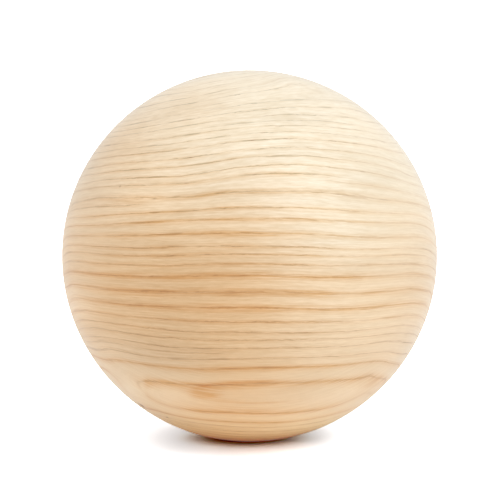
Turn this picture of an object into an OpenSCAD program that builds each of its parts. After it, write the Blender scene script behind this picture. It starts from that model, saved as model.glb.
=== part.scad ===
// Solid wooden ball, turned in one piece from a blank of straight-grained softwood.
// Millimetres, +Z up. The origin is the centre of the ball, and the grain runs along X,
// which was also the axis the ball was turned about.

/* [Ball] */
// Diameter along the grain, which stays as it was turned
ball_d = 80; // [20:0.5:150]
// Share of the diameter that the wood has lost across the grain in drying, in percent
shrinkage = 1; // [0:0.1:4]

/* [Hidden] */
facets = 180;
cross_scale = 1 - shrinkage / 100;

// Right-hand half of the ball's outline, with the grain running up the page. Wood hardly
// moves along its grain, so the round that was turned is only drawn in from the sides.
module half_outline() {
    intersection() {
        scale([cross_scale, 1])
            circle(d = ball_d, $fn = facets);
        translate([0, -ball_d / 2])
            square([ball_d / 2, ball_d]);
    }
}

// The outline turned about its own axis and laid along X
module ball() {
    color("burlywood")
        rotate([0, 90, 0])
            rotate_extrude($fn = facets)
                half_outline();
}

ball();
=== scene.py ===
from math import cos, exp, pi, radians, sin, sqrt

import bmesh
import bpy
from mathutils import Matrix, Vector


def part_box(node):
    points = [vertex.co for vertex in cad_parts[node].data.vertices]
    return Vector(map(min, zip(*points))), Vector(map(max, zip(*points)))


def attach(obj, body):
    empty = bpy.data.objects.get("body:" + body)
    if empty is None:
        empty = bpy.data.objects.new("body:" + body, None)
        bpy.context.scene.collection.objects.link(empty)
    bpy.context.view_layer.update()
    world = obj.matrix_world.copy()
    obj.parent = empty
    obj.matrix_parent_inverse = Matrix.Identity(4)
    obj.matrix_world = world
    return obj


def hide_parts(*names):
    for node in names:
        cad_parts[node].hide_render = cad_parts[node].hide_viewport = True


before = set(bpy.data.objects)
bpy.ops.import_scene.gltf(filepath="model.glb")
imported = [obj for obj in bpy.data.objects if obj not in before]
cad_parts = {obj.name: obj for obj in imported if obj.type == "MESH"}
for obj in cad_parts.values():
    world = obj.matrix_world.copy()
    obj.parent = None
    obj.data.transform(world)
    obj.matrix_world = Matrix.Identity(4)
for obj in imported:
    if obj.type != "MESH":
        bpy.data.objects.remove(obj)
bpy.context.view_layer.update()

# A solid softwood ball. Lengths are in metres unless a name or a note says millimetres.

ballLow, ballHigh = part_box("ball")
alongRadius = (ballHigh.x - ballLow.x) / 2  # along the grain
acrossRadius = (ballHigh.z - ballLow.z) / 2  # across the grain, where the wood has shrunk
toMillimetres = 1000
radiusMm = alongRadius * toMillimetres
white = (1, 1, 1, 1)


# Helpers that add nodes to a material. Most hand back an output socket.

def feed(tree, socket, value):
    if isinstance(value, bpy.types.NodeSocket):
        tree.links.new(value, socket)
    else:
        socket.default_value = value


def addNode(tree, kind, inputs=None, **settings):
    node = tree.nodes.new(kind)
    for name, value in settings.items():
        setattr(node, name, value)
    for name, value in (inputs or {}).items():
        feed(tree, node.inputs[name], value)
    return node


def maths(tree, operation, *values):
    node = addNode(tree, "ShaderNodeMath", operation=operation)
    for socket, value in zip(node.inputs, values):
        feed(tree, socket, value)
    return node.outputs[0]


def product(tree, *values, clamp=False):
    result = values[0]
    for value in values[1:]:
        result = maths(tree, "MULTIPLY", result, value)
    if clamp:
        result.node.use_clamp = True
    return result


def vectorMaths(tree, operation, *values):
    node = addNode(tree, "ShaderNodeVectorMath", operation=operation)
    for socket, value in zip(node.inputs, values):
        feed(tree, socket, value)
    return node.outputs["Value" if operation in ("LENGTH", "DOT_PRODUCT") else "Vector"]


def stretch(tree, vector, factor):
    stretched = vectorMaths(tree, "SCALE", vector)
    feed(tree, stretched.node.inputs["Scale"], factor)
    return stretched


def combine(tree, x, y, z):
    return addNode(tree, "ShaderNodeCombineXYZ", {"X": x, "Y": y, "Z": z}).outputs[0]


def split(tree, vector):
    return addNode(tree, "ShaderNodeSeparateXYZ", {"Vector": vector}).outputs


def blendColours(tree, factor, first, second, mode="MIX"):
    # the Mix node keeps its factor and colours at these places, and its numbers at others
    node = addNode(tree, "ShaderNodeMix", data_type="RGBA", blend_type=mode)
    for index, value in ((0, factor), (6, first), (7, second)):
        feed(tree, node.inputs[index], value)
    return node.outputs[2]


def blendNumbers(tree, factor, first, second):
    node = addNode(tree, "ShaderNodeMix", data_type="FLOAT")
    for index, value in ((0, factor), (2, first), (3, second)):
        feed(tree, node.inputs[index], value)
    return node.outputs[0]


def easeBetween(tree, value, start, end, low=0.0, high=1.0):
    node = addNode(tree, "ShaderNodeMapRange", interpolation_type="SMOOTHSTEP")
    names = ("Value", "From Min", "From Max", "To Min", "To Max")
    for name, number in zip(names, (value, start, end, low, high)):
        feed(tree, node.inputs[name], number)
    return node.outputs[0]


def twoPowers(tree, value, first, second):
    # the first number times the value, and the second times its square
    return product(tree, value, maths(tree, "MULTIPLY_ADD", value, second, first))


def fallAway(tree, place, middle, reach):
    # 1 in the middle, falling away around it
    away = vectorMaths(tree, "DIVIDE", vectorMaths(tree, "SUBTRACT", place, middle), reach)
    return maths(tree, "EXPONENT", product(tree, vectorMaths(tree, "DOT_PRODUCT", away, away), -1))


def bell(tree, offset, outer, inner, power=1.5):
    # 1 on a line, falling away on both sides; a higher power has a flatter top
    above = maths(tree, "DIVIDE", maths(tree, "MAXIMUM", offset, 0), outer)
    under = maths(tree, "DIVIDE", maths(tree, "MINIMUM", offset, 0), inner)
    reach = maths(tree, "SUBTRACT", above, under)
    return maths(tree, "EXPONENT", product(tree, maths(tree, "POWER", reach, power), -1))


def ovalReach(tree, along, upward, oval):
    # distance from the middle of an oval: 1 on its edge
    middleAlong, middleUp, reachAlong, reachUp = oval
    aside = maths(tree, "DIVIDE", maths(tree, "SUBTRACT", along, middleAlong), reachAlong)
    above = maths(tree, "DIVIDE", maths(tree, "SUBTRACT", upward, middleUp), reachUp)
    return maths(tree, "SQRT", maths(tree, "MULTIPLY_ADD", aside, aside, product(tree, above, above)))


def grainNoise(tree, place, row, detail=2):
    # a row holds the size along the grain, outwards and around, and how far the noise is moved
    *size, moved = row
    scaled = vectorMaths(tree, "DIVIDE", place, size)
    if moved:
        scaled = vectorMaths(tree, "ADD", scaled, (moved, moved, moved))
    return addNode(tree, "ShaderNodeTexNoise", {
        "Vector": scaled, "Scale": 1, "Detail": detail}).outputs["Fac"]


def swing(tree, place, row, detail=2):
    # the same noise, as much below 0 as above it
    return maths(tree, "SUBTRACT", grainNoise(tree, place, row, detail), 0.5)


def newMaterial(name):
    material = bpy.data.materials.new(name)
    material.use_nodes = True
    tree = material.node_tree
    tree.nodes.clear()
    return material, tree, tree.nodes.new("ShaderNodeOutputMaterial")


# Growth rings, in millimetres. The ball was cut beside the heart of the tree, so the rings are
# round a line along the grain that passes outside it, in front and below. They bow a little
# along the grain. A ring's size is its distance from the spot where the ball comes closest
# to that line.
growth = {
    "tilt": 8,  # degrees that the blank is turned about its grain
    "heartAngle": 47,  # degrees below the front
    "heartDistance": 82,  # from the middle of the ball
    # The bow, as shares of the radius. Each is multiplied by places that are 1 at the ball's
    # edge: along the grain, a, and upwards, u.
    "lean": -0.05,  # a u
    "fan": -0.11,  # a u u
    "pinch": 0.32,  # a a u
    "bow": -0.51,  # a a u u
    "sweep": 0.015,  # a a a
    "droop": -0.35,  # a a a a
    "rimStart": -18,  # the last two start here, in front of the middle, and are full at the rim
    "rimLean": 1.6,  # millimetres, times a a u
    "rimDrop": -18,  # millimetres, times a a u u
}

# Places where the rings swell or sink: middle along the grain and upwards, reach both ways, lift.
swells = [
    # top
    (12, 34, 15, 6, -1.8),
    (18, 36, 7, 3.5, -3),
    (9, 38, 6, 3, -4),
    (22, 31, 5, 3, -1.2),
    (-11, 33, 4, 3, 0.4),
    (-19, 34, 4, 2, -0.8),
    # left, from the top down
    (-30, 24, 7, 5, -1),
    (-30, 12, 12, 1.5, -0.7),
    (-34, 7, 6, 3, 0.8),
    (-35, -3, 8, 3, 0.4),
    (-32, -7, 6, 6, 0.4),
    (-26, -20, 14, 1.5, 0.2),
    (-30, -24, 6, 5, -0.4),
    (-20, -32, 12, 4, -1),
    (-15, -31, 5, 1.5, 0.2),
    # middle
    (10, 20, 7, 6, -0.3),
    (-12, 16, 8, 6, 0.9),
    (3, 13, 6, 2, 0.3),
    (2, 5, 9, 6, 0.5),
    (-22, 4, 8, 4, -0.3),
    (-19, -13, 8, 4, -0.3),
    (5, -21, 16, 5, -0.3),
    (12, -28, 8, 5, 0.2),
    # right
    (35, 16, 10, 6, 2),
    (28, 11, 12, 1.5, 0.5),
    (28, 4, 14, 1.5, 0.3),
    (37, 0, 4, 9, 0.3),
    (25, -2, 8, 3, -0.4),
    (21, -25, 6, 3, 0.2),
    (27, -25, 4, 3, -0.3),
]
swellDepth = 22  # reach into the wood, here and for the patches of colour and painted light below

# Latewood lines: size of the ring, darkness of its fine core, strength of the orange band around
# that, reach of the band, and for a line that runs only part of the way, where it starts and
# ends along the grain.
rings = [
    (0.85, 0.9, 1.0, 0.18),
    (2.05, 0.95, 1.0, 0.24),
    (3.1, 0.75, 0.3, 0.24),
    (3.9, 0.6, 0.25, 0.24, -50, -4),
    (4.5, 0.8, 0.25, 0.27),
    (5.7, 0.8, 0.3, 0.28),
    (6.9, 0.82, 0.42, 0.31),
    (8.6, 0.82, 0.68, 0.38),
    (10.9, 0.8, 1.0, 0.65),
    (13.7, 0.8, 1.0, 0.7),
    (16.7, 0.9, 1.0, 0.6),
    (18.9, 0.75, 0.6, 0.4),
    (20.8, 0.85, 0.6, 0.4),
    (22.4, 1.0, 0.65, 0.42),
    (25.0, 0.9, 0.9, 0.62),
    (27.8, 1.0, 0.9, 0.43),
    (30.0, 0.9, 0.74, 0.42),
    (31.9, 0.8, 0.55, 0.38, -50, -21),
    (33.3, 0.85, 0.72, 0.6),
    (36.6, 0.8, 0.52, 0.5, -50, 18),
    (35.7, 0.6, 0.6, 0.4, 15, 50),
    (38.4, 1.0, 0.45, 0.34),
    (40.4, 0.9, 0.45, 0.32),
    (42.2, 1.0, 0.42, 0.31),
    (44.2, 1.0, 0.42, 0.31),
    (45.8, 0.95, 0.2, 0.27),
    (47.4, 0.8, 0.25, 0.27),
    (48.5, 0.7, 0.1, 0.26, -9, 50),
    (49.8, 0.85, 0.15, 0.25),
    (51.4, 0.85, 0.15, 0.25),
    (53.2, 0.8, 0.1, 0.25),
    (54.6, 0.5, 0.1, 0.3, -50, -5),
    (56.4, 0.85, 0.15, 0.25),
    (58.6, 0.6, 0.15, 0.27),
    (60.9, 0.6, 0.15, 0.28),
    (62.9, 0.5, 0.15, 0.3),
    (65.0, 0.4, 0.15, 0.3),
    (66.8, 0.5, 0.2, 0.35),
    (68.6, 0.55, 0.4, 0.4),
    (70.1, 0.5, 0.4, 0.3),
    (71.8, 0.65, 0.8, 0.45),
    (73.2, 0.55, 0.6, 0.35),
    (74.9, 0.7, 0.9, 0.5),
    (76.2, 0.6, 0.6, 0.3),
    (77.7, 0.7, 0.8, 0.4),
    (78.9, 0.7, 0.9, 0.35),
]
rings.sort()  # the curves need them in order of size

# The innermost loop, where the surface just touches a ring: a thin line along its lower side, and
# a broad blot at one tip. Millimetres along the grain and upwards.
heartLoop = {
    "oval": (3, -27.2, 14, 2.3),  # middle along the grain and upwards, reach both ways
    "width": 0.13,  # share of that reach
    "strength": 0.75,
    "paleAlong": (-8, 16, 1, 0),
    "blot": (-9, -27.6, 4, 1.8),  # middle and reach, as above
    "blotEdge": (1.25, 0.2, 0, 1),  # shares of that reach
    "blotStreaks": (0.35, 0.6, 0.45, 1.2),
    "front": (-18, -12, 1, 0),  # it is on the front only
}

# The curves below hold one value per ring. A curve is read at 255 even steps, five to a ring.
ringSlots = 51
ringRange = (-1, 84)  # ring sizes that the curves span
grainSpan = (-50, 50)  # places along the grain that the curves span
widestBand = 2  # a band's reach is at most this


def share(value, span):
    return (value - span[0]) / (span[1] - span[0])


def setCurve(curve, points):
    while len(curve.points) < len(points):
        curve.points.new(0.5, 0.5)
    for point, place in zip(curve.points, points):
        point.location = place
        point.handle_type = "VECTOR"


def ringNumber(tree, ringSize):
    # rings are numbered from 1, with fractions between them
    node = addNode(tree, "ShaderNodeFloatCurve")
    points = [(0, 0)]
    for index, ring in enumerate(rings):
        points.append((share(ring[0], ringRange), (index + 1) / ringSlots))
    points.append((1, (len(rings) + 1) / ringSlots))
    setCurve(node.mapping.curves[0], points)
    node.mapping.update()
    perMillimetre = 1 / (ringRange[1] - ringRange[0])
    place = maths(tree, "MULTIPLY_ADD", ringSize, perMillimetre, share(0, ringRange))
    feed(tree, node.inputs["Value"], place)
    return product(tree, node.outputs[0], ringSlots)


def ringValues(tree, number, columns):
    # each ring's three values are level for a short way around its number
    node = addNode(tree, "ShaderNodeRGBCurve")
    levelHalf = 0.3
    for curve, column in zip(node.mapping.curves, columns):
        points = []
        for index, value in enumerate(column):
            for side in (-levelHalf, levelHalf):
                points.append((min(max((index + side) / ringSlots, 0), 1), value))
        setCurve(curve, points)
    node.mapping.update()
    place = maths(tree, "DIVIDE", number, ringSlots)
    feed(tree, node.inputs["Color"], combine(tree, place, place, place))
    return split(tree, node.outputs[0])


def ringColumns():
    # values as shares, with a row without a line before the first ring and after the last
    first = (ringRange[0], 0, 0, 1, *grainSpan)
    last = (ringRange[1], 0, 0, 1, *grainSpan)
    rows = [first] + [(ring + grainSpan)[:6] for ring in rings] + [last]
    sizes = [share(row[0], ringRange) for row in rows]
    darkness = [row[1] for row in rows]
    orange = [row[2] for row in rows]
    reaches = [row[3] / widestBand for row in rows]
    starts = [share(row[4], grainSpan) for row in rows]
    ends = [share(row[5], grainSpan) for row in rows]
    return (sizes, darkness, orange), (reaches, starts, ends)


def nearPlace(tree, wood, along, upwards, reachAlong, reachUp):
    # 1 at a place on the front, falling away around it
    depth = sqrt(max(radiusMm ** 2 - along ** 2 - upwards ** 2, 0))
    return fallAway(tree, wood, (along, -depth, upwards), (reachAlong, swellDepth, reachUp))


def ringField(tree, wood):
    # distance from the heart line, and how far the rings are shifted by their bow and swells
    heart = radians(growth["heartAngle"])
    heartPoint = (0, growth["heartDistance"] * cos(heart), growth["heartDistance"] * sin(heart))
    fromHeart = vectorMaths(tree, "ADD", wood, heartPoint)
    across = vectorMaths(tree, "MULTIPLY", fromHeart, (0, 1, 1))
    distance = vectorMaths(tree, "LENGTH", across)
    size = maths(tree, "SUBTRACT", distance, growth["heartDistance"] - radiusMm)
    shares = split(tree, stretch(tree, wood, 1 / radiusMm))
    a, u = shares[0], shares[2]
    skew = twoPowers(tree, u, growth["lean"], growth["fan"])
    bend = twoPowers(tree, u, growth["pinch"], growth["bow"])
    ends = twoPowers(tree, a, growth["sweep"], growth["droop"])
    bowed = maths(tree, "MULTIPLY_ADD", a, maths(tree, "ADD", bend, ends), skew)
    shift = product(tree, bowed, a, radiusMm)
    nearRim = easeBetween(tree, split(tree, wood)[1], growth["rimStart"], 0)
    drop = twoPowers(tree, u, growth["rimLean"], growth["rimDrop"])
    shift = maths(tree, "MULTIPLY_ADD", product(tree, nearRim, a, a), drop, shift)
    for *spot, lift in swells:
        shift = maths(tree, "MULTIPLY_ADD", nearPlace(tree, wood, *spot), lift, shift)
    return size, shift


# The ball's looks, in millimetres. Apart from colours and noises, a row of four says where a
# change starts and ends and its value at each of these, and a row of two goes from 0 to 1. A noise
# holds its size along the grain, outwards and around, and how far it is moved.
ballFinish = {
    # body
    "heartColour": (0.74, 0.5, 0.273, 1),
    "sapColour": (0.91, 0.79, 0.60, 1),
    "sapRings": (8, 54),  # ring sizes over which heartwood turns to sapwood
    "sapAlong": (-34, 2, 0.55, 1),  # less so at the left end
    "paintedHighlightRight": (-8, 20, 0, 0.42),  # painted highlight: the right end, where the key light falls, goes the same way
    "paintedHighlightRoom": 0.7,  # the painted highlight is less where it is sapwood already
    "paintedSheenHeart": (7, 0, 0, 0.4),  # painted sheen: the heart side goes paler too, by ring size
    "paintedSheenAlong": (2, -26),  # towards the left end, where the sheen is painted
    # wander of the rings
    "slowNoise": (26, 14, 14, 0),
    "slowReach": (-22, 4, 0, 5),  # more of it behind
    "fineNoise": (6, 3, 6, 0),
    "fineReach": 0.28,
    "calmRings": (0, 9, 0.1, 1),  # the rings lie flat near the heart side
    "steadyRight": (12, 30),  # and run more evenly towards both ends
    "steadyLeft": (-20, -34),
    "steadyRestless": (0, 1, 1, 0.4),
    # fine streaks and short dashes, in thin sheets along the rings
    "sheetSpread": 0.03,
    "straightRings": (0.8, 3, 1, 0),
    "streakNoises": ((11, 0.05, 9, 0), (9, 2, 0.35, 0)),  # in sheets, and straight along the grain
    "strokeNoises": ((6, 0.045, 7, 17), (6, 2, 0.3, 17)),
    "dashNoise": (2.2, 0.035, 2.2, 23),
    "fibreTone": (0.3, 0.7, 0.955, 1.04),
    "fibreWarmth": 0.35,  # darker fibres are warmer ones
    "smoothHeart": 0.6,  # how far the streaks are smoothed out
    "smoothEnds": 0.45,
    "smoothRings": (40, 64, 0, 0.45),
    "dashTone": 0.28,
    "dashRings": (0, 5, 0.3, 1),
    "dashEnds": (0, 1, 1, 0.55),
    "cloudNoise": (30, 3.5, 12, 0),
    "cloudTone": (0.25, 0.75, 0.96, 1.03),
    # orange bands of the lines
    "bandColour": (0.86, 0.67, 0.44, 1),
    "bandStreaks": (0.3, 0.7, 1.35, 0.65),
    "bandInside": 1.3,  # how much further a band reaches inwards
    "bandRagged": 0.6,
    "bandUnder": (-34, -31, 0.75, 1),  # the first ones are paler underneath
    "bandUnderRings": (3.5, 5),
    "bandAlong": (2, 26, 1, 0.8),
    # fine cores of the lines
    "warmCore": (0.80, 0.69, 0.57, 1),
    "greyCore": (0.44, 0.46, 0.40, 1),  # thin lines, well away from the heart
    "brownCore": (0.53, 0.47, 0.39, 1),  # and near it
    "greyRings": (10, 34),
    "edgeCore": (0.58, 0.44, 0.31, 1),  # towards the right end and underneath
    "edgeRight": (6, 28),
    "edgeUnder": (-30, -34),
    "edgeShare": 0.85,
    "coreWarmth": 0.72,  # how far the cores of the orange lines are warm ones
    "coreWidth": 0.16,  # shares of the band's reach
    "strokeWidth": 0.6,
    "sideStrokes": (0.54, 0.64),
    "raggedNoise": (2.6, 0.6, 2.6, 0),
    "kinkNoise": (1.2, 0.5, 1.2, 41),
    "kinkShare": 0.6,
    "raggedReach": 0.45,
    "breakNoise": (4, 0.9, 4, 7),
    "breakDepth": (0.36, 0.58, 0.35, 1.2),
    "breakEnds": 0.6,  # the cores are more even towards both ends
    "evenCore": 0.85,
    "fleckColour": (0.45, 0.34, 0.26, 1),
    "fleckNoise": (2, 0.5, 2, 31),
    "flecks": (0.56, 0.7),
    "fleckRings": (3, 14),
    "fleckOrange": (0.6, 1, 1, 0.3),  # fewer on the strongest orange lines
    # run of the lines
    "taper": (-0.03, 0.03),  # share of the grain's span over which a line starts or ends
    "stretchNoise": (14, 1, 1, 0),  # stronger and weaker stretches
    "stretchStep": 3.7,  # takes each line to noise of its own
    "stretchStrength": (0.25, 0.75, 0.75, 1.15),
    # surface
    "roughness": 0.55,
    "specular": 0.3,
    "wax": 0.62,
    "waxRoughness": 0.4,
    "fibreSheen": 0.2,
    "sheenRoughness": 0.3,
    "sheenTint": (0.62, 0.78, 0.95, 1),
    "relief": 0.15,
    "reliefDepth": 0.0002,  # metres
}

# The lines are paler towards both ends: limits along the grain, and what is left by ring size.
paleEnds = [
    ((2, 34), (4, 30, 0.86, 0.46)),
    ((-24, -38), (3, 16, 0.95, 0.58)),
]

# Places where the lines are faint: limits along the grain, upwards and of the ring size, and the
# share of the strength that is left.
faintPlaces = [
    ((-8, -18), (-26.3, -28), (1.6, 1.3), 0.35),  # lower side of the first line, at its left tip
    ((14, 22), (-26.3, -28), (1.6, 1.3), 0.35),  # and at its right tip
    ((-20.3, -22.3), (-23, -25), (1.6, 1.3), 0.35),  # where the first line turns back
    ((-21, -24), (-21.5, -24), (1.35, 1.6), 0.15),  # the others to the left of it
    ((2, 14), (29.5, 33.5), None, 0.38),  # every line at the top right
]

# Soft patches on the front: middle along the grain and upwards, reach both ways, how much lighter,
# and how much closer to sapwood. Some are painted light and shade, not the wood's tone: the two lowest
# paint light on the underside, and the darkest, at the lower left, paints shade there.
patchesAndPaintedLight = [
    # painted shade: darker at the lower left, away from the key light
    (-20, -21, 13, 6, -0.11, -0.04),
    # painted light: these two lighten the underside, where light from the floor falls
    (0, -32, 20, 5, 0.08, 0.05),
    (0, -37.5, 18, 3.5, 0.16, 0.1),
    (26, -26, 8, 5, -0.01, -0.05),
    (-12, -3, 14, 5, -0.02, -0.12),
    (20, 4, 13, 4.5, 0.01, 0.2),
    (18, -10, 12, 4, 0.04, 0.1),
    (-21, 12, 8, 7, 0.07, 0),
    (-27, 23, 8, 6, 0, -0.25),
    (-10, 30, 10, 5, 0, -0.2),
    (13, 10, 8, 4, 0, 0.06),
    (-4, -26, 12, 3, 0.07, 0.05),
    (26, 18, 8, 7, -0.05, 0),
    (35, -6, 5, 14, -0.03, -0.03),
    (-36, -9, 5, 4, 0.02, 0.25),
    (10, 20, 14, 9, 0, 0.08),
    (-33, 16, 7, 10, -0.065, 0),
    (4, 29, 10, 5, -0.035, 0),
    (15, 17, 8, 16, 0, 0.09),
    (20, -26.5, 6, 4, 0.05, 0.06),
    (-16, -26, 8, 3, 0.03, 0.04),
    (-14, -15, 8, 4, -0.06, 0),
    (24, -12, 6, 6, 0.02, 0.06),
    (-24, -27, 3.5, 2, 0.02, 0.2),
]

# Small marks in millimetres: middle along the grain, forwards and upwards, reach along and across,
# strength. The first is the nick, which is a dent as well.
marks = (
    (-22.65, 13.3, -29.85, 0.9, 0.8, 1),
    (-26.1, 24.4, 17.6, 0.25, 0.2, 0.6),
    (-18.7, 31.1, 15.9, 0.8, 0.2, 0.35),
    (-17.1, 17.0, -31.5, 0.3, 0.3, 0.8),
)
markColour = (0.24, 0.11, 0.05, 1)


def placeInWood(tree, place):
    # where a spot of the ball lies: in the wood, in millimetres, and among its rings
    turned = addNode(tree, "ShaderNodeMapping", {
        "Vector": place,
        "Rotation": (radians(growth["tilt"]), 0, 0),
        "Scale": (toMillimetres,) * 3,
    })
    wood = turned.outputs[0]
    along, forward, upward = split(tree, wood)
    heart = radians(growth["heartAngle"])
    around = vectorMaths(tree, "DOT_PRODUCT", wood, (0, -sin(heart), cos(heart)))
    size, shift = ringField(tree, wood)
    slow = swing(tree, wood, ballFinish["slowNoise"], 1)
    shift = maths(tree, "MULTIPLY_ADD", slow, easeBetween(tree, forward, *ballFinish["slowReach"]), shift)
    evenSize = maths(tree, "ADD", size, shift)
    calm = easeBetween(tree, evenSize, *ballFinish["calmRings"])
    steadyRight = easeBetween(tree, along, *ballFinish["steadyRight"])
    steadyLeft = easeBetween(tree, along, *ballFinish["steadyLeft"])
    steady = maths(tree, "MAXIMUM", steadyRight, steadyLeft)
    restless = product(tree, calm, easeBetween(tree, steady, *ballFinish["steadyRestless"]))
    fine = swing(tree, combine(tree, along, evenSize, around), ballFinish["fineNoise"])
    ringSize = maths(tree, "ADD", evenSize, product(tree, fine, restless, ballFinish["fineReach"]))
    return {
        "wood": wood,
        "along": along,
        "forward": forward,
        "upward": upward,
        "around": around,
        "evenSize": evenSize,
        "ringSize": ringSize,
        "fibrePlace": combine(tree, along, ringSize, around),
        "steady": steady,
        "restless": restless,
    }


def addStreaks(tree, spot):
    # Streaks lie in sheets along the rings. Near the heart side, where the surface only touches a
    # ring, they run straight along the grain.
    sheet = maths(tree, "SQRT", maths(tree, "MAXIMUM", spot["evenSize"], 0))
    sheet = maths(tree, "MULTIPLY_ADD", spot["evenSize"], ballFinish["sheetSpread"], sheet)
    place = combine(tree, spot["along"], sheet, spot["around"])
    spot["straight"] = easeBetween(tree, spot["evenSize"], *ballFinish["straightRings"])
    for name, rows in (("streak", "streakNoises"), ("stroke", "strokeNoises")):
        inSheets, alongGrain = [grainNoise(tree, place, row) for row in ballFinish[rows]]
        spot[name] = blendNumbers(tree, spot["straight"], inSheets, alongGrain)
    spot["dash"] = swing(tree, place, ballFinish["dashNoise"])
    spot["bandStreaks"] = easeBetween(tree, spot["streak"], *ballFinish["bandStreaks"])


def patchSharesWithPaintedLight(tree, wood):
    # the patches hold painted light and shade as well as the wood's tone
    lighter, sap = 1.0, 0.0
    for *spot, lift, sapLift in patchesAndPaintedLight:
        near = nearPlace(tree, wood, *spot)
        lighter = maths(tree, "MULTIPLY_ADD", near, lift, lighter) if lift else lighter
        sap = maths(tree, "MULTIPLY_ADD", near, sapLift, sap) if sapLift else sap
    return lighter, sap


def streakTone(tree, spot):
    tone = easeBetween(tree, spot["streak"], *ballFinish["fibreTone"])
    smoothHeart = product(tree, spot["straight"], ballFinish["smoothHeart"])
    smoothEnds = product(tree, spot["steady"], ballFinish["smoothEnds"])
    smoother = maths(tree, "MAXIMUM", smoothHeart, smoothEnds)
    smoothRings = easeBetween(tree, spot["ringSize"], *ballFinish["smoothRings"])
    tone = blendNumbers(tree, maths(tree, "MAXIMUM", smoother, smoothRings), tone, 1)
    dashReach = easeBetween(tree, spot["evenSize"], *ballFinish["dashRings"])
    dashReach = product(tree, dashReach, easeBetween(tree, spot["steady"], *ballFinish["dashEnds"]))
    dashes = product(tree, spot["dash"], dashReach)
    return product(tree, tone, maths(tree, "MULTIPLY_ADD", dashes, ballFinish["dashTone"], 1))


def bodyColour(tree, spot):
    # from heart to sap, with fine fibres and slow cloudiness; paler to the right as a painted highlight,
    # paler at the heart side to the left as painted sheen, and with patches that hold painted light and
    # shade
    along, ringSize = spot["along"], spot["ringSize"]
    outward = easeBetween(tree, ringSize, *ballFinish["sapRings"])
    outward = product(tree, outward, easeBetween(tree, along, *ballFinish["sapAlong"]))
    # painted highlight: the right end is paler, where the key light falls
    paintedHighlightShare = easeBetween(tree, along, *ballFinish["paintedHighlightRight"])
    room = maths(tree, "SUBTRACT", 1, product(tree, outward, ballFinish["paintedHighlightRoom"]))
    sapAndPaintedPaleShare = maths(tree, "MULTIPLY_ADD", paintedHighlightShare, room, outward)
    # painted sheen: the heart side is paler towards the left end
    paintedSheenRings = easeBetween(tree, ringSize, *ballFinish["paintedSheenHeart"])
    paintedSheenEnd = easeBetween(tree, along, *ballFinish["paintedSheenAlong"])
    sapAndPaintedPaleShare = maths(tree, "MULTIPLY_ADD", paintedSheenRings, paintedSheenEnd, sapAndPaintedPaleShare)
    lighter, patchSapAndPaintedLight = patchSharesWithPaintedLight(tree, spot["wood"])
    sapAndPaintedPaleShare = maths(tree, "ADD", sapAndPaintedPaleShare, patchSapAndPaintedLight)
    body = blendColours(tree, sapAndPaintedPaleShare, ballFinish["heartColour"], ballFinish["sapColour"])
    fibreTone = streakTone(tree, spot)
    cloud = grainNoise(tree, spot["fibrePlace"], ballFinish["cloudNoise"])
    tone = product(tree, fibreTone, easeBetween(tree, cloud, *ballFinish["cloudTone"]), lighter)
    green = product(tree, tone, maths(tree, "POWER", fibreTone, ballFinish["fibreWarmth"]))
    blue = product(tree, tone, fibreTone)
    return blendColours(tree, 1, body, combine(tree, tone, green, blue), "MULTIPLY")


def lineStrength(tree, spot):
    places = (spot["along"], spot["upward"], spot["ringSize"])
    strength = 1
    for limits, row in paleEnds:
        towards = easeBetween(tree, spot["along"], *limits)
        left = easeBetween(tree, spot["ringSize"], *row)
        strength = product(tree, strength, blendNumbers(tree, towards, 1, left))
    for *limits, left in faintPlaces:
        inside = [easeBetween(tree, place, *limit) for place, limit in zip(places, limits) if limit]
        strength = product(tree, strength, easeBetween(tree, product(tree, *inside), 0, 1, 1, left))
    return strength


def bandStrength(tree, spot):
    under = easeBetween(tree, spot["upward"], *ballFinish["bandUnder"])
    under = maths(tree, "MAXIMUM", under, easeBetween(tree, spot["ringSize"], *ballFinish["bandUnderRings"]))
    along = easeBetween(tree, spot["along"], *ballFinish["bandAlong"])
    return product(tree, under, along, spot["bandStreaks"])


def coreStrokes(tree, spot):
    # how far the fine core of each line strays, the strokes it is broken into, and dark flecks
    place = spot["fibrePlace"]
    kinked = swing(tree, place, ballFinish["kinkNoise"])
    ragged = swing(tree, place, ballFinish["raggedNoise"])
    ragged = maths(tree, "MULTIPLY_ADD", kinked, ballFinish["kinkShare"], ragged)
    ragged = product(tree, ragged, spot["restless"], ballFinish["raggedReach"])
    strokes = easeBetween(tree, grainNoise(tree, place, ballFinish["breakNoise"]), *ballFinish["breakDepth"])
    evener = product(tree, spot["steady"], ballFinish["breakEnds"])
    strokes = blendNumbers(tree, evener, strokes, ballFinish["evenCore"])
    flecks = easeBetween(tree, grainNoise(tree, place, ballFinish["fleckNoise"]), *ballFinish["flecks"])
    flecks = product(tree, flecks, easeBetween(tree, spot["ringSize"], *ballFinish["fleckRings"]))
    return ragged, strokes, flecks


def thinCore(tree, spot):
    greyer = easeBetween(tree, spot["ringSize"], *ballFinish["greyRings"])
    colour = blendColours(tree, greyer, ballFinish["brownCore"], ballFinish["greyCore"])
    atRight = easeBetween(tree, spot["along"], *ballFinish["edgeRight"])
    atUnder = easeBetween(tree, spot["upward"], *ballFinish["edgeUnder"])
    atEdge = product(tree, maths(tree, "MAXIMUM", atRight, atUnder), ballFinish["edgeShare"])
    return blendColours(tree, atEdge, colour, ballFinish["edgeCore"])


def lineRun(tree, along, index, start, end):
    # about 1 where a line runs, with stronger and weaker stretches
    place = maths(tree, "SUBTRACT", along, grainSpan[0])
    place = maths(tree, "DIVIDE", place, grainSpan[1] - grainSpan[0])
    started = easeBetween(tree, maths(tree, "SUBTRACT", place, start), *ballFinish["taper"])
    going = easeBetween(tree, maths(tree, "SUBTRACT", end, place), *ballFinish["taper"])
    ownPlace = combine(tree, along, product(tree, index, ballFinish["stretchStep"]), 0)
    stretches = grainNoise(tree, ownPlace, ballFinish["stretchNoise"], 1)
    return product(tree, started, going, easeBetween(tree, stretches, *ballFinish["stretchStrength"]))


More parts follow.
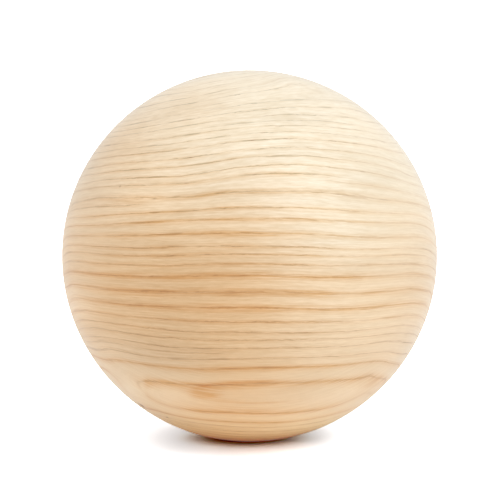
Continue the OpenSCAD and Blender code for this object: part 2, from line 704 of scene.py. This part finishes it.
def lineColours(tree, spot):
    # what the lines take from the body colour: nothing where it is white
    ragged, strokes, flecks = coreStrokes(tree, spot)
    sideStrokes = easeBetween(tree, spot["stroke"], *ballFinish["sideStrokes"])
    strength = lineStrength(tree, spot)
    bands = bandStrength(tree, spot)
    thinColour = thinCore(tree, spot)
    below = maths(tree, "FLOOR", ringNumber(tree, spot["ringSize"]))
    looks, limits = ringColumns()
    colour = white
    for step in (0, 1):  # the two lines on either side of each spot
        index = maths(tree, "ADD", below, step)
        size, darkness, orange = ringValues(tree, index, looks)
        reach, start, end = ringValues(tree, index, limits)
        size = maths(tree, "MULTIPLY_ADD", size, ringRange[1] - ringRange[0], ringRange[0])
        reach = product(tree, reach, widestBand)
        offset = maths(tree, "SUBTRACT", spot["ringSize"], size)
        present = product(tree, lineRun(tree, spot["along"], index, start, end), strength)

        bandOffset = maths(tree, "MULTIPLY_ADD", ragged, ballFinish["bandRagged"], offset)
        band = bell(tree, bandOffset, reach, product(tree, reach, ballFinish["bandInside"]))
        band = product(tree, band, orange, bands, present, clamp=True)

        width = product(tree, reach, ballFinish["coreWidth"])
        core = bell(tree, maths(tree, "ADD", offset, ragged), width, width, power=2)
        sideWidth = product(tree, reach, ballFinish["strokeWidth"])
        side = product(tree, bell(tree, offset, sideWidth, sideWidth, power=2), sideStrokes)
        core = maths(tree, "MAXIMUM", product(tree, core, strokes), side)
        core = product(tree, core, darkness, present, clamp=True)
        warmth = product(tree, orange, ballFinish["coreWarmth"])
        coreColour = blendColours(tree, warmth, thinColour, ballFinish["warmCore"])
        speck = product(tree, flecks, easeBetween(tree, orange, *ballFinish["fleckOrange"]))
        coreColour = blendColours(tree, speck, coreColour, ballFinish["fleckColour"])

        for amount, tint in ((band, ballFinish["bandColour"]), (core, coreColour)):
            colour = blendColours(tree, 1, colour, blendColours(tree, amount, white, tint), "MULTIPLY")
    return colour


def loopColour(tree, spot):
    along, upward = spot["along"], spot["upward"]
    offset = maths(tree, "SUBTRACT", ovalReach(tree, along, upward, heartLoop["oval"]), 1)
    line = bell(tree, offset, heartLoop["width"], heartLoop["width"])
    line = product(tree, line, heartLoop["strength"], easeBetween(tree, along, *heartLoop["paleAlong"]))
    blot = easeBetween(tree, ovalReach(tree, along, upward, heartLoop["blot"]), *heartLoop["blotEdge"])
    blot = product(tree, blot, easeBetween(tree, spot["stroke"], *heartLoop["blotStreaks"]))
    front = easeBetween(tree, spot["forward"], *heartLoop["front"])
    loop = maths(tree, "MAXIMUM", line, blot)
    loop = product(tree, loop, front, spot["bandStreaks"], clamp=True)
    return blendColours(tree, loop, white, ballFinish["bandColour"])


def markSpot(along, forward, upwards, reachAlong, reachAcross):
    middle = Vector((along, -forward, upwards)) / toMillimetres
    reach = Vector((reachAlong, reachAcross, reachAcross)) / toMillimetres
    return middle, reach


def markShare(tree, place, mark):
    *spot, strength = mark
    return product(tree, fallAway(tree, place, *markSpot(*spot)), strength)


def ballWood():
    material, tree, output = newMaterial("ballWood")
    place = addNode(tree, "ShaderNodeTexCoord").outputs["Object"]
    spot = placeInWood(tree, place)
    addStreaks(tree, spot)
    colour = bodyColour(tree, spot)
    for layer in (lineColours, loopColour):
        colour = blendColours(tree, 1, colour, layer(tree, spot), "MULTIPLY")
    for mark in marks:
        colour = blendColours(tree, markShare(tree, place, mark), colour, markColour)
    relief = addNode(tree, "ShaderNodeBump", {
        "Strength": ballFinish["relief"],
        "Distance": ballFinish["reliefDepth"],
        "Height": spot["streak"],
    })
    surface = addNode(tree, "ShaderNodeBsdfPrincipled", {
        "Base Color": colour,
        "Roughness": ballFinish["roughness"],
        "Specular IOR Level": ballFinish["specular"],
        "Coat Weight": ballFinish["wax"],
        "Coat Roughness": ballFinish["waxRoughness"],
        "Sheen Weight": ballFinish["fibreSheen"],
        "Sheen Roughness": ballFinish["sheenRoughness"],
        "Sheen Tint": ballFinish["sheenTint"],
        "Normal": relief.outputs[0],
    })
    tree.links.new(surface.outputs[0], output.inputs["Surface"])
    return material


ballShape = {
    "subdivisions": 7,
    "nickDepth": 0.15,  # millimetres
    "nickCuts": 3,  # finer faces around the nick
    "nickFiner": 3,  # as far as this many times its reach
    "nickRound": 5,  # and the round form is kept as far as this
}


def makeBall():
    mesh = bpy.data.meshes.new("turnedBall")
    shape = bmesh.new()
    bmesh.ops.create_icosphere(shape, subdivisions=ballShape["subdivisions"], radius=1)
    radii = Vector((alongRadius, acrossRadius, acrossRadius))
    bmesh.ops.scale(shape, vec=radii, verts=shape.verts)

    # the nick: finer faces, set back on the round form, then pressed in
    middle, reach = markSpot(*marks[0][:5])
    finer = ballShape["nickFiner"] * reach.x
    near = [edge for edge in shape.edges if (edge.verts[0].co - middle).length < finer]
    bmesh.ops.subdivide_edges(shape, edges=near, cuts=ballShape["nickCuts"], use_grid_fill=True)
    for vertex in shape.verts:
        away = vertex.co - middle
        if away.length < ballShape["nickRound"] * reach.x:
            unit = Vector([value / radius for value, radius in zip(vertex.co, radii)])
            fall = sum((value / size) ** 2 for value, size in zip(away, reach))
            depth = ballShape["nickDepth"] / toMillimetres * exp(-fall)
            vertex.co = vertex.co / unit.length * (1 - depth / radii.x)
    for face in shape.faces:
        face.smooth = True
    shape.to_mesh(mesh)
    shape.free()
    ball = bpy.data.objects.new("turnedBall", mesh)
    bpy.context.scene.collection.objects.link(ball)
    return ball


print("ball")
ball = makeBall()
ball.data.materials.append(ballWood())
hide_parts("ball")
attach(ball, "root")

studio = {
    "floorWidth": 20,
    # As the camera sees it, the floor is far brighter than white. Its red, green and blue fall
    # off near the contact as a painted contact shadow: distances from it in metres, level there and level
    # outside.
    "floorTonesAndPaintedShadow": (
        (0.0030, 0.0145, 0.05, 3.25),
        (0.0055, 0.0150, 0.02, 3.35),
        (0.0065, 0.0155, 0.01, 3.5),
    ),
    "paintedShadowMiddle": (-0.001, -0.0008, 0),
    # painted shadow: near the ball it is darker to the left, away from the key light, and paler to the right
    "paintedSideShadow": (-0.02, 0.014, 0.88, 1.08),
    "paintedSideShadowReach": (0.02, 0.05),
    "paintedShadowStretch": 1.45,  # the painted shadow's fall is steeper to the front and back
    "paintedFrontLight": (1.8, 1.6, 1.48, 1),  # and just in front of the ball the floor is painted paler, painted light on the shadow
    "paintedLightMiddle": 0.001,
    "paintedLightAside": (0, 0.017, 1, 0),
    "paintedLightStart": (0.0035, 0.006),
    "paintedLightEnd": (0.010, 0.020, 1, 0),
    # the same for the light that the floor sends back to the ball: painted shade, dark and warm near the
    # contact
    "bouncesWithPaintedShade": (
        (0.002, 0.008, 0.3, 1.0),
        (0.009, 0.020, 0.03, 1.0),
        (0.010, 0.025, 0.01, 1.0),
    ),
    # painted shade: the floor as the wax mirrors it is darker near the contact
    "mirroredWithPaintedShade": (0.008, 0.020, 0.5, 1.35),
    "paintedGloom": (0.15, 0.15, 0.15, 1),  # painted shade: as the ball's shadow side finds it, so that the contact stays dark
    "surroundings": 0.8,  # even light from all sides
    # Lamps: degrees to the right of the camera, degrees up, distance, width, strength.
    "keyLight": (38, 52, 1.2, 0.9, 0.295),
    "fillLight": (-105, 15, 1.2, 0.9, 0.075),
}


def seenToneWithPaintedShadow(tree, place):
    # the floor as the camera sees it, with a painted contact shadow
    fromMiddle = vectorMaths(tree, "SUBTRACT", place, studio["paintedShadowMiddle"])
    fromMiddle = vectorMaths(tree, "MULTIPLY", fromMiddle, (1, studio["paintedShadowStretch"], 0))
    fromContact = vectorMaths(tree, "LENGTH", fromMiddle)
    tone = combine(tree, *[easeBetween(tree, fromContact, *row) for row in studio["floorTonesAndPaintedShadow"]])
    aside, back = split(tree, place)[:2]
    inFront = product(tree, back, -1)
    fromMiddle = maths(tree, "ABSOLUTE", maths(tree, "SUBTRACT", aside, studio["paintedLightMiddle"]))
    # painted light: the floor just in front of the ball is paler
    lift = product(tree,
        easeBetween(tree, fromMiddle, *studio["paintedLightAside"]),
        easeBetween(tree, inFront, *studio["paintedLightStart"]),
        easeBetween(tree, inFront, *studio["paintedLightEnd"]))
    tone = vectorMaths(tree, "MULTIPLY", tone, blendColours(tree, lift, white, studio["paintedFrontLight"]))
    outside = easeBetween(tree, fromContact, *studio["paintedSideShadowReach"])
    paintedSideShadow = blendNumbers(tree, outside, easeBetween(tree, aside, *studio["paintedSideShadow"]), 1)
    return stretch(tree, tone, paintedSideShadow)


def sentLightWithPaintedShade(tree, place, polished):
    # what the floor sends back to the ball, and what the wax mirrors of it, with painted shade near the
    # contact
    fromContact = vectorMaths(tree, "LENGTH", vectorMaths(tree, "MULTIPLY", place, (1, 1, 0)))
    bounce = combine(tree, *[easeBetween(tree, fromContact, *row) for row in studio["bouncesWithPaintedShade"]])
    mirrored = stretch(tree, bounce, easeBetween(tree, fromContact, *studio["mirroredWithPaintedShade"]))
    return blendColours(tree, polished, bounce, mirrored)


def floorPaper():
    material, tree, output = newMaterial("floorPaper")
    path = addNode(tree, "ShaderNodeLightPath").outputs
    place = addNode(tree, "ShaderNodeTexCoord").outputs["Object"]
    polished = maths(tree, "MAXIMUM", path["Is Glossy Ray"], path["Is Transmission Ray"])
    fromFloor = maths(tree, "COMPARE", path["Ray Depth"], 2, 0.5)  # seen by way of floor and ball
    colour = blendColours(tree, fromFloor, sentLightWithPaintedShade(tree, place, polished), studio["paintedGloom"])
    colour = blendColours(tree, path["Is Camera Ray"], colour, seenToneWithPaintedShadow(tree, place))
    paper = addNode(tree, "ShaderNodeBsdfDiffuse", {"Color": colour})
    tree.links.new(paper.outputs[0], output.inputs["Surface"])
    return material


def makeFloor():
    mesh = bpy.data.meshes.new("floor")
    shape = bmesh.new()
    bmesh.ops.create_grid(shape, x_segments=1, y_segments=1, size=studio["floorWidth"] / 2)
    bmesh.ops.translate(shape, vec=(0, 0, ballLow.z), verts=shape.verts)
    shape.to_mesh(mesh)
    shape.free()
    mesh.materials.append(floorPaper())
    floor = bpy.data.objects.new("floor", mesh)
    bpy.context.scene.collection.objects.link(floor)


def makeWorld():
    world = bpy.data.worlds.new("studioWorld")
    world.use_nodes = True
    tree = world.node_tree
    tree.nodes.clear()
    output = tree.nodes.new("ShaderNodeOutputWorld")
    path = addNode(tree, "ShaderNodeLightPath").outputs
    seen = maths(tree, "MAXIMUM", path["Is Camera Ray"], path["Is Glossy Ray"])
    seen = maths(tree, "MAXIMUM", seen, path["Is Transmission Ray"])
    level = easeBetween(tree, seen, 0, 1, studio["surroundings"], 1)
    light = addNode(tree, "ShaderNodeBackground", {"Color": white, "Strength": level})
    tree.links.new(light.outputs[0], output.inputs["Surface"])
    bpy.context.scene.world = world


def makeLamp(name):
    # strength is the brightness of a white surface that faces the lamp from the ball's place
    turn, height, distance, width, strength = studio[name]
    lamp = bpy.data.lights.new(name, "AREA")
    lamp.shape = "DISK"
    lamp.size = width
    lamp.energy = strength * (pi * distance) ** 2
    light = bpy.data.objects.new(name, lamp)
    turn, height = radians(turn), radians(height)
    toLight = Vector((sin(turn) * cos(height), -cos(turn) * cos(height), sin(height)))
    light.location = toLight * distance
    light.rotation_mode = "QUATERNION"
    light.rotation_quaternion = toLight.to_track_quat("Z", "Y")
    bpy.context.scene.collection.objects.link(light)


shot = {
    "height": 8,  # degrees above level
    "distance": 0.4455,
    "aimRight": 0.00009,
    "aimUp": 0.00123,
    "lens": 100,  # millimetres
    "filmWidth": 24,
    "nearest": 0.01,  # nothing closer than this is seen
}


def makeCamera():
    film = bpy.data.cameras.new("camera")
    film.lens = shot["lens"]
    film.sensor_width = shot["filmWidth"]
    film.clip_start = shot["nearest"]
    camera = bpy.data.objects.new("camera", film)
    height = radians(shot["height"])
    back = Vector((0, -cos(height), sin(height)))
    up = Vector((0, sin(height), cos(height)))
    aim = up * shot["aimUp"] + Vector((shot["aimRight"], 0, 0))
    camera.location = aim + back * shot["distance"]
    camera.rotation_mode = "QUATERNION"
    camera.rotation_quaternion = (-back).to_track_quat("-Z", "Y")
    bpy.context.scene.collection.objects.link(camera)
    bpy.context.scene.camera = camera


print("floor, light and camera")
makeFloor()
makeWorld()
makeLamp("keyLight")
makeLamp("fillLight")
makeCamera()
bpy.context.scene.view_settings.view_transform = "Standard"
